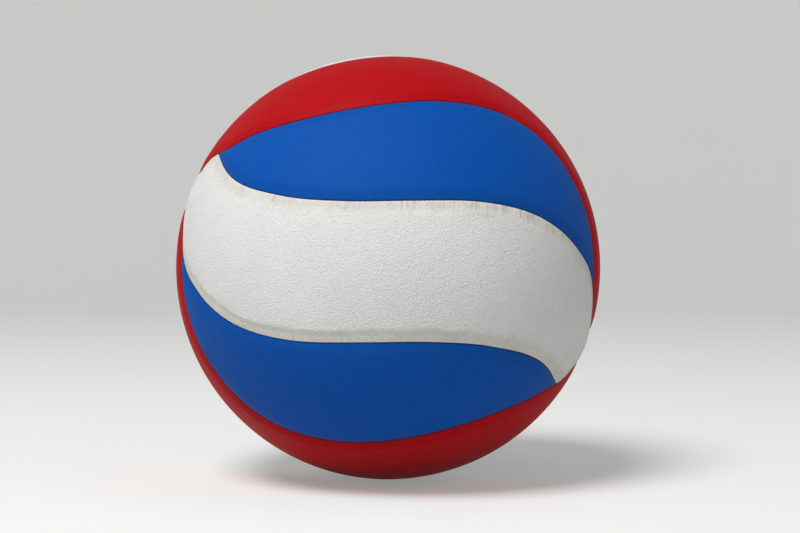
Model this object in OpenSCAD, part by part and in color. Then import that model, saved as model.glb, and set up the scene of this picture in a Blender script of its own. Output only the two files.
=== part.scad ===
// Volleyball with ten cover panels in a five-fold twisted layout.
// Millimetres. The ball centre is the origin, X to the right, Y to the back, Z up.
// The five long panels run between two poles, and a closed leaf lies between each pair.
// One seam curve, given in longitude and latitude about the pole axis, makes every seam. Three seams stray a
// little from it, as they do on the real ball.

/* [Ball] */
// outside radius of the inflated ball
ball_radius = 105; // [90:0.5:120]
// thickness of the outer cover skin
cover_thickness = 1.4; // [0.8:0.1:2.5]
// thickness of the foam bonded under each cover panel
foam_thickness = 2; // [1:0.1:4]
// thickness of the wound thread layer
winding_thickness = 0.6; // [0.3:0.1:1.5]
// thickness of the rubber carcass under the winding
carcass_thickness = 0.8; // [0.4:0.1:2]
// thickness of the air bladder wall
bladder_thickness = 0.7; // [0.4:0.1:1.5]

/* [Panel layout] */
// picture angle of the pole axis above the X axis, in degrees
pole_angle = 159.1; // [120:0.1:180]
// latitude of the leaf tips, in degrees
tip_latitude = 66.2; // [50:0.1:80]
// longitude of the seam at the near leaf tip, in degrees
tip_longitude = 32.4; // [20:0.1:40]
// how far the short pole seams turn before the pole, in degrees
pole_turn = 12; // [0:0.5:30]
// how late the short pole seams turn
pole_turn_power = 1; // [1:0.1:3]
// longitudes of the seam at seven even steps between the two leaf tips
seam_longitudes = [37.7, 33.2, 26.4, 18.8, 12.8, 9.7, 11.6];
// longitude change a step at the steep end of the seam
steep_end_slope = 39.4; // [20:0.1:80]
// longitude change a step at the last table point before the steep end
steep_side_slope = 7.1; // [0:0.1:20]
// longitude change a step at the flat end of the seam
flat_end_slope = 8.5; // [-5:0.1:15]
// how far the seam over the upper blue leaf strays from the even layout, in degrees at the same seven steps
upper_shifts = [0.3, 1, 1.2, 0.2, -1.9, -2.6, -1.2];
// the same for the seam over the top panel
top_shifts = [0, 0, 0, -0.8, -2.4, -4, -2];
// the same for the seam under the lower blue leaf
lower_shifts = [1, -0.2, -1.1, -0.8, 0, 1.8, 2.1];

/* [Seams] */
// open gap between two panel walls
seam_gap = 0.2; // [0.1:0.05:1]
// depth of the seam groove
groove_depth = 1.1; // [0.3:0.1:1.3]
// width of the sloped edge on each side of a seam
edge_slope_width = 2.4; // [0.5:0.1:5]
// width left at the blunted tips of an outline
tip_blunt = 0.2; // [0.1:0.05:0.6]

/* [Valve] */
// radius of the needle channel
needle_radius = 1; // [0.8:0.05:1.5]
// length of the needle channel
plug_length = 13; // [8:0.5:20]
// radius of the plug body
plug_radius = 3; // [2:0.1:5]
// radius of the plug head at the surface
plug_head_radius = 4; // [3:0.1:6]
// height of the plug head
plug_head_height = 1; // [0.5:0.1:2]
// how far the plug head lies below the ball surface
plug_recess = 0.4; // [0:0.1:1]
// radius of the hole in the cover around the head
cover_hole_radius = 4.3; // [3:0.1:7]
// radius of the neck through the inner layers
neck_radius = 5; // [3.5:0.1:8]
// radius of the boss inside the bladder
boss_radius = 6.5; // [4:0.1:10]
// length of the boss inside the bladder
boss_length = 9; // [5:0.5:15]
// radius of the flange bonded to the bladder
flange_radius = 15; // [8:0.5:25]
// thickness of the flange
flange_thickness = 1.5; // [0.8:0.1:3]

/* [Balance patch] */
// radius of the patch opposite the valve
patch_radius = 18; // [8:0.5:30]
// thickness of the patch
patch_thickness = 1.5; // [0.8:0.1:3]

/* [Hidden] */
no_shifts = [0, 0, 0, 0, 0, 0, 0];
panel_count = 5;
sector = 360 / panel_count;
half_sector = sector / 2;
round_steps = 180;
long_steps = 44;
pole_steps = 5;
leaf_steps = 44;
cap_share = 1.15;
ring_clearance = 0.2;
layer_overrun = 1;
plain_turn = 180;
upper_turn = 200;
lower_turn = 160;
fit_gap = 0.1;
tangent_step = 0.05;
leaf_tip_half_angle = 16;
steep_tip_lean = 44;
flat_tip_lean = 12;
degrees_per_mm = 180 / PI / ball_radius;
seam_step = tip_latitude / 4;
pole_run = 90 - tip_latitude;
foam_outer = ball_radius - cover_thickness;
winding_outer = foam_outer - foam_thickness;
carcass_outer = winding_outer - winding_thickness;
bladder_outer = carcass_outer - carcass_thickness;
bladder_inner = bladder_outer - bladder_thickness;
groove_radius = ball_radius - groove_depth;
wall_inset = seam_gap / 2 * degrees_per_mm;
slope_inset = wall_inset + edge_slope_width * degrees_per_mm;
blunt = tip_blunt * degrees_per_mm;
plug_top = ball_radius - plug_recess;
plug_bottom = plug_top - plug_length;
head_bottom = plug_top - plug_head_height;
neck_bottom = bladder_inner - flange_thickness - layer_overrun;
neck_length = head_bottom - fit_gap - neck_bottom;
boss_bottom = bladder_inner - flange_thickness - boss_length;
white_colour = "WhiteSmoke";
blue_colour = "RoyalBlue";
red_colour = "Crimson";
foam_colour = "Beige";
winding_colour = "Gainsboro";
carcass_colour = "DimGray";
bladder_colour = "SlateGray";
valve_colour = "DarkSlateGray";

// The seam curve. Its two end values follow from the leaf's own half turn.
seam_table = concat([sector - tip_longitude], seam_longitudes, [tip_longitude]);
seam_last = len(seam_table) - 1;

function seam_cell(m) = min(seam_last - 1, max(0, floor((m + tip_latitude) / seam_step)));

function seam_slope(i) =
    i <= 0 ? flat_end_slope :
    i >= seam_last ? steep_end_slope :
    i == seam_last - 1 ? steep_side_slope :
    (seam_table[i + 1] - seam_table[i - 1]) / 2;

function hermite(a, b, sa, sb, t) =
    a * (1 + 2 * t) * (1 - t) * (1 - t)
    + sa * t * (1 - t) * (1 - t)
    + b * t * t * (3 - 2 * t)
    - sb * t * t * (1 - t);

function seam_at(m) =
    let (i = seam_cell(m), t = (m + tip_latitude) / seam_step - i)
    hermite(seam_table[i], seam_table[i + 1], seam_slope(i), seam_slope(i + 1), t);

// How far a seam strays from the curve. It never does at the leaf tips.
function shift_slope(table, i) = i <= 0 || i >= seam_last ? 0 : (table[i + 1] - table[i - 1]) / 2;

function shift_at(shifts, m) =
    let (table = concat([0], shifts, [0]), i = seam_cell(m), t = (m + tip_latitude) / seam_step - i)
    hermite(table[i], table[i + 1], shift_slope(table, i), shift_slope(table, i + 1), t);

function pole_seam_at(m) =
    tip_longitude + pole_turn * pow(max(0, (m - tip_latitude) / pole_run), pole_turn_power);

// Edge of a long panel, from one pole to the other, as longitude from its own middle.
function long_edge(m, shifts) =
    m > tip_latitude ? pole_seam_at(m) :
    m < -tip_latitude ? sector - pole_seam_at(-m) :
    seam_at(m) + shift_at(shifts, m);

// Edge of a leaf, as longitude from its own middle.
function leaf_edge(m, shifts) = half_sector - seam_at(-m) - shift_at(shifts, -m);

function edge_at(leaf, m, shifts) = leaf ? leaf_edge(m, shifts) : long_edge(m, shifts);

function direction(l, m) = [cos(m) * cos(l), cos(m) * sin(l), sin(m)];

function unit(v) = v / norm(v);

function edge_point(leaf, m, shifts) = direction(edge_at(leaf, m, shifts), m);

function limit(leaf, m) = leaf ? min(tip_latitude, max(-tip_latitude, m)) : m;

function edge_run(leaf, m, shifts) =
    unit(edge_point(leaf, limit(leaf, m + tangent_step), shifts)
        - edge_point(leaf, limit(leaf, m - tangent_step), shifts));

function inset_point(leaf, m, inset, shifts) =
    let (p = edge_point(leaf, m, shifts), n = unit(cross(p, edge_run(leaf, m, shifts))))
    p * cos(inset) + n * sin(inset);

// Latitudes at which the two outlines are cut, from the lower end to the upper end.
function leaf_latitudes(inset) =
    let (along = inset / tan(leaf_tip_half_angle) + blunt,
         low = -(tip_latitude - along * cos(steep_tip_lean)),
         high = tip_latitude - along * cos(flat_tip_lean))
    [for (i = [0 : leaf_steps]) low + (high - low) * i / leaf_steps];

function long_latitudes(inset) =
    let (last = 90 - inset / tan(half_sector) - blunt)
    concat(
        [for (i = [0 : pole_steps - 1]) -last + (last - tip_latitude) * i / pole_steps],
        [for (i = [0 : long_steps]) -tip_latitude + 2 * tip_latitude * i / long_steps],
        [for (i = [1 : pole_steps]) tip_latitude + (last - tip_latitude) * i / pole_steps]
    );

function latitudes(leaf, inset) = leaf ? leaf_latitudes(inset) : long_latitudes(inset);

function side(leaf, inset, shifts) = [for (m = latitudes(leaf, inset)) inset_point(leaf, m, inset, shifts)];

function half_turn(p) = [p[0], -p[1], -p[2]];

// One closed outline, up one side and back down the other.
function outline(leaf, inset, near, far) =
    concat(side(leaf, inset, near), [for (p = side(leaf, inset, far)) half_turn(p)]);

// A cone from the ball centre through one or more outlines, closed by a strip outside the ball.
// near and far are the shifts of the seams on its two sides.
module cone(leaf, rings, near, far) {
    n = len(outline(leaf, rings[0][1], near, far));
    half = n / 2;
    last_ring = len(rings) - 1;
    points = concat([[0, 0, 0]], [for (r = rings) for (p = outline(leaf, r[1], near, far)) p * r[0]]);
    top = 1 + last_ring * n;
    fan = [for (i = [0 : n - 1]) [0, 1 + (i + 1) % n, 1 + i]];
    walls = [
        for (k = [0 : 1 : last_ring - 1])
        for (i = [0 : n - 1])
        let (a = 1 + k * n + i, b = 1 + k * n + (i + 1) % n)
        each [[a, b, b + n], [a, b + n, a + n]]
    ];
    cap = [
        for (i = [0 : half - 2])
        let (a = top + i, b = top + i + 1, c = top + n - 2 - i, d = top + n - 1 - i)
        each [[a, b, c], [a, c, d]]
    ];
    polyhedron(points = points, faces = concat(fan, walls, cap));
}

// A hollow sphere whose own poles and seam lie away from the panel that is cut from it.
module shell(outer, inner, turn = plain_turn) {
    rotate([90, 0, turn])
    difference() {
        sphere(r = outer, $fn = round_steps);
        sphere(r = inner, $fn = round_steps);
    }
}

// Places a panel built about the local X axis on the ball.
module place(longitude) {
    rotate([0, 90 - pole_angle, 0])
    rotate([0, 0, longitude - 90])
    children();
}

module cover(leaf, longitude, near = no_shifts, far = no_shifts, turn = plain_turn) {
    place(longitude)
    intersection() {
        shell(ball_radius, foam_outer, turn);
        cone(leaf, [
            [groove_radius, wall_inset],
            [ball_radius + ring_clearance, slope_inset],
            [ball_radius * cap_share, slope_inset]
        ], near, far);
    }
}

module foam(leaf, longitude, near = no_shifts, far = no_shifts, turn = plain_turn) {
    place(longitude)
    intersection() {
        shell(foam_outer, winding_outer, turn);
        cone(leaf, [[ball_radius * cap_share, wall_inset]], near, far);
    }
}

// A straight bore along Y through the back of the ball.
module back_bore(radius) {
    translate([0, bladder_inner / 2, 0])
    rotate([-90, 0, 0])
    cylinder(r = radius, h = ball_radius, $fn = round_steps);
}

module panel_front() {
    color(white_colour) cover(false, 0);
}

module panel_top_front() {
    color(red_colour) cover(false, sector, top_shifts, upper_shifts, upper_turn);
}

module panel_top_back() {
    color(blue_colour) cover(false, 2 * sector);
}

module panel_bottom_back() {
    color(blue_colour) cover(false, 3 * sector);
}

module panel_bottom_front() {
    color(red_colour) cover(false, 4 * sector, lower_shifts, no_shifts, lower_turn);
}

module leaf_upper_front() {
    color(blue_colour) cover(true, half_sector, upper_shifts, no_shifts);
}

module leaf_top() {
    color(white_colour) cover(true, half_sector + sector, no_shifts, top_shifts);
}

module leaf_back() {
    color(red_colour)
    difference() {
        cover(true, half_sector + 2 * sector);
        back_bore(cover_hole_radius);
    }
}

module leaf_bottom() {
    color(white_colour) cover(true, half_sector + 3 * sector);
}

module leaf_lower_front() {
    color(blue_colour) cover(true, half_sector + 4 * sector, no_shifts, lower_shifts);
}

module foam_front() {
    color(foam_colour) foam(false, 0);
}

module foam_top_front() {
    color(foam_colour) foam(false, sector, top_shifts, upper_shifts, upper_turn);
}

module foam_top_back() {
    color(foam_colour) foam(false, 2 * sector);
}

module foam_bottom_back() {
    color(foam_colour) foam(false, 3 * sector);
}

module foam_bottom_front() {
    color(foam_colour) foam(false, 4 * sector, lower_shifts, no_shifts, lower_turn);
}

module foam_leaf_upper_front() {
    color(foam_colour) foam(true, half_sector, upper_shifts, no_shifts);
}

module foam_leaf_top() {
    color(foam_colour) foam(true, half_sector + sector, no_shifts, top_shifts);
}

module foam_leaf_back() {
    color(foam_colour)
    difference() {
        foam(true, half_sector + 2 * sector);
        back_bore(neck_radius + fit_gap);
    }
}

module foam_leaf_bottom() {
    color(foam_colour) foam(true, half_sector + 3 * sector);
}

module foam_leaf_lower_front() {
    color(foam_colour) foam(true, half_sector + 4 * sector, no_shifts, lower_shifts);
}

module bored_shell(outer, inner) {
    difference() {
        shell(outer, inner);
        back_bore(neck_radius + fit_gap);
    }
}

module nylon_winding() {
    color(winding_colour) bored_shell(winding_outer, carcass_outer);
}

module rubber_carcass() {
    color(carcass_colour) bored_shell(carcass_outer, bladder_outer);
}

module bladder() {
    color(bladder_colour) bored_shell(bladder_outer, bladder_inner);
}

// Flange bonded inside the bladder, a boss below it and a neck through the layers.
module valve_seat() {
    color(valve_colour)
    difference() {
        union() {
            intersection() {
                shell(bladder_inner, bladder_inner - flange_thickness);
                back_bore(flange_radius);
            }
            translate([0, boss_bottom, 0])
            rotate([-90, 0, 0])
            cylinder(r = boss_radius, h = boss_length + flange_thickness / 2, $fn = round_steps);
            translate([0, neck_bottom, 0])
            rotate([-90, 0, 0])
            cylinder(r = neck_radius, h = neck_length, $fn = round_steps);
        }
        back_bore(plug_radius);
    }
}

// Self-sealing plug with a head at the surface and the needle channel down its middle.
module valve_plug() {
    color(valve_colour)
    translate([0, plug_bottom, 0])
    rotate([-90, 0, 0])
    rotate_extrude($fn = round_steps)
    polygon([
        [needle_radius, 0],
        [plug_radius, 0],
        [plug_radius, plug_length - plug_head_height],
        [plug_head_radius, plug_length - plug_head_height],
        [plug_head_radius, plug_length],
        [needle_radius, plug_length]
    ]);
}

module balance_patch() {
    color(valve_colour)
    intersection() {
        shell(bladder_inner, bladder_inner - patch_thickness);
        rotate([90, 0, 0])
        cylinder(r = patch_radius, h = ball_radius, $fn = round_steps);
    }
}

panel_front();
panel_top_front();
panel_top_back();
panel_bottom_back();
panel_bottom_front();
leaf_upper_front();
leaf_top();
leaf_back();
leaf_bottom();
leaf_lower_front();
foam_front();
foam_top_front();
foam_top_back();
foam_bottom_back();
foam_bottom_front();
foam_leaf_upper_front();
foam_leaf_top();
foam_leaf_back();
foam_leaf_bottom();
foam_leaf_lower_front();
nylon_winding();
rubber_carcass();
bladder();
valve_seat();
valve_plug();
balance_patch();
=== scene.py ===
"""Looks of an inflated volleyball: crowned cover panels, foam, thread winding, rubbers and stage."""

import math

import bmesh
import bpy
import numpy as np
from bpy.props import FloatProperty, FloatVectorProperty, IntProperty, PointerProperty
from mathutils import Matrix, Vector


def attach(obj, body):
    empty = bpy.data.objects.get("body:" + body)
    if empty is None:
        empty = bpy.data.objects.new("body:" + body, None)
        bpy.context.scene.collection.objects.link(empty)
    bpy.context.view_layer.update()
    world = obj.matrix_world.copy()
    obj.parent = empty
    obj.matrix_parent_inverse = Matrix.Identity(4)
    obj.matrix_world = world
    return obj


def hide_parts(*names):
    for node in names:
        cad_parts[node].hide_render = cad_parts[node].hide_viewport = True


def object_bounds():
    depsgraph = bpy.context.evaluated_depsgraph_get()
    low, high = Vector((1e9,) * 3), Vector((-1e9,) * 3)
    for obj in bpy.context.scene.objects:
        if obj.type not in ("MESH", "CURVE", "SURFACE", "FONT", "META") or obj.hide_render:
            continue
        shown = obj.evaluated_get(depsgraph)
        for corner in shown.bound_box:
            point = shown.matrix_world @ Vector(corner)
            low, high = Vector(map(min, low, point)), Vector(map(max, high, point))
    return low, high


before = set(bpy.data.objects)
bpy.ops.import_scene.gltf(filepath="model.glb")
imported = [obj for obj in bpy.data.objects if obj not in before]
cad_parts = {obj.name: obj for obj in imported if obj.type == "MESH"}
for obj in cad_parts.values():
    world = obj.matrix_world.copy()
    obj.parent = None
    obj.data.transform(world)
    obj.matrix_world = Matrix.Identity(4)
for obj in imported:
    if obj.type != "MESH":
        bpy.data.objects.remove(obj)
CAD_BOX = [list(corner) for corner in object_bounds()]
CAD_RADIUS = round(CAD_BOX[1][2], 4)

bl_info = {
    "name": "Volleyball",
    "version": (1, 0, 0),
    "blender": (4, 5, 0),
    "location": "View3D > Sidebar > Volleyball",
    "description": "Builds the visible pieces of an inflated volleyball over its packed frame",
    "category": "Add Mesh",
}

# ---------------------------------------------------------------- panel layout, as in the frame

POLE_ANGLE = 159.1          # picture angle of the pole axis above X, degrees
SECTOR = 72.0               # five long panels share the round
TIP_LATITUDE = 66.2         # where the leaves end
TIP_LONGITUDE = 32.4
POLE_TURN = 12.0
SEAM_LONGITUDES = (37.7, 33.2, 26.4, 18.8, 12.8, 9.7, 11.6)
STEEP_END_SLOPE = 39.4
STEEP_SIDE_SLOPE = 7.1
FLAT_END_SLOPE = 8.5
# How far three seams stray from the even layout, at the same steps, in degrees.
EVEN = (0, 0, 0, 0, 0, 0, 0)
UPPER_SHIFTS = (0.3, 1, 1.2, 0.2, -1.9, -2.6, -1.2)
TOP_SHIFTS = (0, 0, 0, -0.8, -2.4, -4, -2)
LOWER_SHIFTS = (1, -0.2, -1.1, -0.8, 0, 1.8, 2.1)

# node, is it a leaf, longitude of its middle, shifts of its near and far seam, finish
COVERS = (
    ("panel_front", False, 0, EVEN, EVEN, "white"),
    ("panel_top_front", False, 72, TOP_SHIFTS, UPPER_SHIFTS, "red"),
    ("panel_top_back", False, 144, EVEN, EVEN, "blue"),
    ("panel_bottom_back", False, 216, EVEN, EVEN, "blue"),
    ("panel_bottom_front", False, 288, LOWER_SHIFTS, EVEN, "red"),
    ("leaf_upper_front", True, 36, UPPER_SHIFTS, EVEN, "blue"),
    ("leaf_top", True, 108, EVEN, TOP_SHIFTS, "white"),
    ("leaf_back", True, 180, EVEN, EVEN, "red"),
    ("leaf_bottom", True, 252, EVEN, EVEN, "white"),
    ("leaf_lower_front", True, 324, EVEN, LOWER_SHIFTS, "blue"),
)
VALVE_DIRECTION = Vector((0.0, 1.0, 0.0))
VALVE_LEAF = "leaf_back"

# ---------------------------------------------------------------- mesh counts and finishes

# Rows, outer columns and inner columns of a cover skin; rows and columns of a foam sheet.
PANEL_SKIN_GRID = (300, 76, 28)
LEAF_SKIN_GRID = (240, 64, 22)
PANEL_FOAM_GRID = (140, 28)
LEAF_FOAM_GRID = (110, 22)
EDGE_GATHER = 0.85          # draws a skin's columns together near its edges
ROW_GATHER = 0.5            # draws the rows together near a panel's ends
SEAM_SAMPLES = 4001         # points along one seam curve
WIDTH_SAMPLES = 6001        # places where a panel's width is measured
POINTS_AT_ONCE = 2000       # keeps the distance tables small
SECOND_SEAM_RUN = 5.0       # keeps the pattern along the second seam unlike the first's
NO_HOLE_NEAR = 1.0          # distance written where a skin has no valve hole
FIRST_WAVE_SEED = 40        # each cover piece has waves of its own
WAVE_SEED_STEP = 7
COLOURED_WAVE_SHARE = 0.4   # the waves along a coloured edge, against a white one
BORE_SIDES = 96             # sides and length of the round cutter at the valve
BORE_LENGTH = 0.04
RING_POINTS = 96            # points of one turn of thread
THREAD_SIDES = 4
SENSOR_WIDTH = 36           # millimetres

# finish, roughness, depth of its grain and of its creases in metres
LEATHERS = (
    ("white", 0.58, 0.00028, 0.0019),
    ("blue", 0.6, 0.0002, 0.0003),
    ("red", 0.6, 0.0002, 0.0003),
)
# piece: material, its colour, roughness, width and depth of its mould's texture in metres
RUBBERS = {
    "latex_film": ("dipped_latex", "latex", 0.5, 0.0004, 0.00005),
    "rubber_carcass": ("carcass_natural_rubber", "carcass", 0.62, 0.0006, 0.00008),
    "bladder": ("bladder_butyl_rubber", "bladder", 0.38, 0.0012, 0.00004),
    "balance_patch": ("patch_rubber", "valve", 0.55, 0.0005, 0.00006),
    "valve_seat": ("valve_seat_rubber", "valve", 0.5, 0.0005, 0.00006),
    "valve_plug": ("plug_silicone_rubber", "plug", 0.42, 0.0003, 0.00003),
}


def linear(hex_colour):
    """Turns a written sRGB hex colour into linear values."""
    value = hex_colour.lstrip("#")
    parts = [int(value[i:i + 2], 16) / 255 for i in (0, 2, 4)]
    return [c / 12.92 if c <= 0.04045 else ((c + 0.055) / 1.055) ** 2.4 for c in parts]


def length(name, description, default, low, high):
    """A length property in metres."""
    return FloatProperty(
        name=name, description=description, default=default, min=low, max=high,
        unit="LENGTH", precision=5,
    )


def share(name, description, default):
    """A property that is a share from 0 to 1."""
    return FloatProperty(name=name, description=description, default=default, min=0, max=1)


def colour(name, description, default):
    """A colour property whose default is a written sRGB hex colour."""
    return FloatVectorProperty(
        name=name, description=description, default=linear(default), min=0, max=1,
        size=3, subtype="COLOR",
    )


class BallSizes(bpy.types.PropertyGroup):
    """Sizes of the ball's layers and of the details on its cover."""

    ball_radius: length(
        "Ball radius", "Outside radius of the inflated ball", CAD_RADIUS, 0.09, 0.12)
    cover_thickness: length("Cover thickness", "Synthetic leather skin", 0.0014, 0.0008, 0.0025)
    foam_thickness: length("Foam thickness", "Foam bonded under each panel", 0.002, 0.001, 0.004)
    winding_thickness: length("Winding thickness", "Layer of wound thread", 0.0006, 0.0003, 0.0015)
    seam_gap: length("Seam gap", "Open gap between two panel walls", 0.0002, 0.0001, 0.001)
    tip_width: length("Tip width", "Width left at the blunted panel tips", 0.0002, 0.0001, 0.001)
    white_edge_width: length(
        "White edge width", "Width of the stepped band of the stretched white panels",
        0.007, 0.001, 0.012)
    coloured_edge_width: length(
        "Coloured edge width", "Width of the rounded band of the other panels",
        0.006, 0.001, 0.012)
    edge_depth: length("Edge depth", "How far the panel edge turns down", 0.0012, 0.0002, 0.0014)
    white_step_share: share(
        "White step share", "Share of the edge depth taken by the fold line", 0.6)
    coloured_step_share: share("Coloured step share", "The same for the other panels", 0.1)
    rim_width: length("Rim width", "Bare cut edge that shows beside a seam", 0.0006, 0.0, 0.002)
    pucker_depth: length(
        "Pucker depth", "Height of the small waves along an edge", 0.00016, 0.0, 0.0005)
    pucker_spacing: length("Pucker spacing", "Length of one wave along an edge", 0.0045, 0.001, 0.02)
    band_wander: share("Band wander", "How much the width of the band varies along a seam", 0.5)
    grain_size: length("Grain size", "Width of one pebble of the leather grain", 0.0007, 0.0003, 0.003)
    wrinkle_spacing: length(
        "Wrinkle spacing", "Space between the fine creases beside a seam", 0.0024, 0.0005, 0.01)
    valve_hole_radius: length(
        "Valve hole radius", "Hole in the cover round the valve", 0.0043, 0.003, 0.007)
    valve_lip_width: length(
        "Valve lip width", "Width of the turned-in rim of the valve hole", 0.0022, 0.0005, 0.006)
    valve_lip_depth: length("Valve lip depth", "How far that rim turns in", 0.0004, 0.0, 0.001)
    neck_radius: length("Neck radius", "Hole through the inner layers", 0.0051, 0.003, 0.008)
    thread_radius: length("Thread radius", "Radius of the nylon thread", 0.00014, 0.00005, 0.0003)
    thread_turns: IntProperty(
        name="Thread turns", description="Turns laid, before those over the valve's neck are left out",
        default=190, min=10, max=240)
    winding_seed: IntProperty(
        name="Winding seed", description="Seed of the winding directions", default=7, min=0, max=999)


class BallColours(bpy.types.PropertyGroup):
    """Colours of the ball's materials."""

    white_cover: colour("White cover", "White synthetic leather", "#E6E6E5")
    white_edge: colour("White edge", "The same leather where it is stretched beside a seam", "#DEDAD4")
    white_fold: colour("White fold", "The same leather along the fold of its edge", "#DDDBD6")
    white_rim: colour("White rim", "Its cut edge, with the cloth backing", "#E9E4DA")
    blue_cover: colour("Blue cover", "Blue synthetic leather", "#0451AC")
    blue_edge: colour("Blue edge", "The same leather where it is stretched beside a seam", "#0650A8")
    blue_fold: colour("Blue fold", "The same leather along the fold of its edge", "#044EA6")
    blue_rim: colour("Blue rim", "Its cut edge", "#043C80")
    red_cover: colour("Red cover", "Red synthetic leather", "#B40612")
    red_edge: colour("Red edge", "The same leather where it is stretched beside a seam", "#B00612")
    red_fold: colour("Red fold", "The same leather along the fold of its edge", "#AE0511")
    red_rim: colour("Red rim", "Its cut edge", "#82040C")
    foam: colour("Foam", "Backing foam", "#E4DBC3")
    thread: colour("Thread", "Nylon thread", "#E6E4DA")
    latex: colour("Latex", "Latex film that holds the thread", "#C9BC97")
    carcass: colour("Carcass", "Carcass rubber", "#2B2B2C")
    bladder: colour("Bladder", "Bladder rubber", "#1E1F22")
    valve: colour("Valve", "Valve seat rubber", "#333336")
    plug: colour("Plug", "Self-sealing valve plug", "#DAD6CB")


class StageSettings(bpy.types.PropertyGroup):
    """Floor, lamps and camera."""

    floor: colour("Floor", "Plain studio floor and backdrop", "#DADAD8")
    key_power: FloatProperty(
        name="Key power", description="Power of the soft lamp above the left shoulder", default=52.0,
        min=0, unit="POWER")
    fill_power: FloatProperty(
        name="Fill power", description="Power of the soft lamp on the right", default=2.0,
        min=0, unit="POWER")
    world_strength: FloatProperty(
        name="World strength", description="Strength of the even light all round", default=0.2,
        min=0, max=5)
    paper_glow: share("Paper glow", "Lift of the backdrop as the camera sees it", 0.36)
    camera_distance: length("Camera distance", "From the ball's middle to the camera", 0.84, 0.2, 10)
    camera_azimuth: FloatProperty(
        name="Camera azimuth", description="Camera's turn to the right about Z",
        default=math.radians(0.6), subtype="ANGLE")
    camera_elevation: FloatProperty(
        name="Camera elevation", description="Camera's height angle",
        default=math.radians(1.09), subtype="ANGLE")
    focal_length: FloatProperty(
        name="Focal length", description="Lens in millimetres on a 36 mm sensor", default=75.74,
        min=10, max=400, unit="CAMERA")
    shift_x: FloatProperty(
        name="Shift X", description="Sideways shift of the lens, as a share of the frame's width",
        default=0.0148, precision=4)
    shift_y: FloatProperty(
        name="Shift Y", description="Upward shift of the lens, as a share of the frame's width",
        default=0.0011, precision=4)


# ---------------------------------------------------------------- nodes

def add_node(tree, kind, inputs=None, **settings):
    """Adds one node with its settings, and sets or links its inputs."""
    node = tree.nodes.new(kind)
    for key, value in settings.items():
        setattr(node, key, value)
    for key, value in (inputs or {}).items():
        if isinstance(value, bpy.types.NodeSocket):
            tree.links.new(value, node.inputs[key])
        else:
            node.inputs[key].default_value = value
    return node


def rgba(values):
    return (*values, 1.0)


def new_material(name):
    """An empty node material and its surface shader."""
    material = bpy.data.materials.new(name)
    material.use_nodes = True
    tree = material.node_tree
    tree.nodes.clear()
    output = tree.nodes.new("ShaderNodeOutputMaterial")
    surface = tree.nodes.new("ShaderNodeBsdfPrincipled")
    tree.links.new(surface.outputs["BSDF"], output.inputs["Surface"])
    return material, tree, surface


def finish_surface(tree, surface, base, tone, bump):
    """Gives a surface its colour, made darker or lighter by a tone, and its relief."""
    shaded = add_node(tree, "ShaderNodeVectorMath", {0: base, 3: tone}, operation="SCALE").outputs[0]
    tree.links.new(shaded, surface.inputs["Base Color"])
    tree.links.new(bump.outputs["Normal"], surface.inputs["Normal"])


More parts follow.
